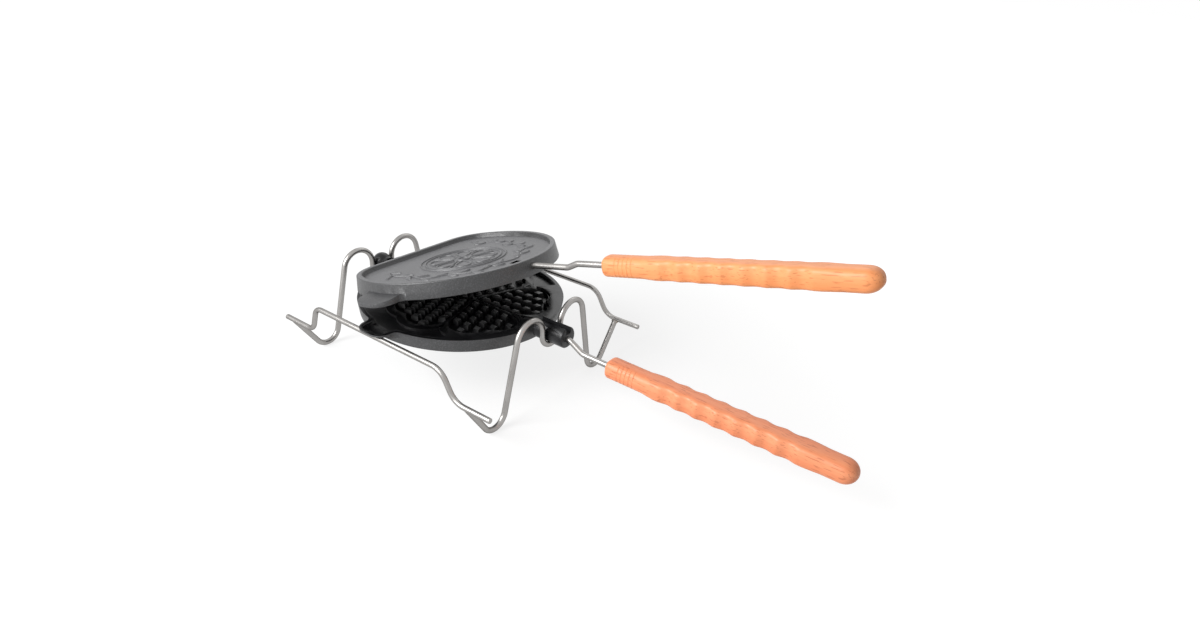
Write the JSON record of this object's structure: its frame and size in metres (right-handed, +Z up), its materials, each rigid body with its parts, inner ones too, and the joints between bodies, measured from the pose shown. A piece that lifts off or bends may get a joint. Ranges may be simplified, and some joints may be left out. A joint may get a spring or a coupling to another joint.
{
  "type": "waffle iron",
  "caption": "Two-handled cast-iron waffle iron for a stove or fire, with heart pockets, wooden grips and a wire stand that holds it level.",
  "frame": {"origin": "on the floor under the centre of the round plates", "axes": "+Z up, +X to the handles, +Y away from the pour lips"},
  "size_m": [0.542, 0.2362, 0.2207],
  "materials": {
    "cast_iron": "seasoned, matt with a low sheen",
    "stand_wire": "satin stainless wire",
    "handle_steel": "satin round rod",
    "pin_steel": "dark steel",
    "nut_steel": "dark steel",
    "grip_wood": "oiled beech, satin"
  },
  "bodies": {
    "stand": {"near_rail": "stand_wire", "far_rail": "stand_wire", "front_cradle": "stand_wire", "rear_cradle": "stand_wire"},
    "lower_half": {"lower_plate": "cast_iron", "lower_rod": "handle_steel", "lower_grip": "grip_wood", "hinge_pin": "pin_steel"},
    "upper_half": {"upper_plate": "cast_iron", "upper_rod": "handle_steel", "upper_rod_nut": "nut_steel", "upper_grip": "grip_wood"}
  },
  "joints": [
    {"name": "iron_roll", "type": "hinge", "parent": "stand", "child": "lower_half", "pos_m": [0, 0, 0.0723], "axis": [1, 0, 0], "range_deg": [-36, 0]},
    {"name": "upper_hinge", "type": "hinge", "parent": "lower_half", "child": "upper_half", "pos_m": [-0.102, 0, 0.0723], "axis": [0, -1, 0], "range_deg": [-13.98, 71]}
  ]
}
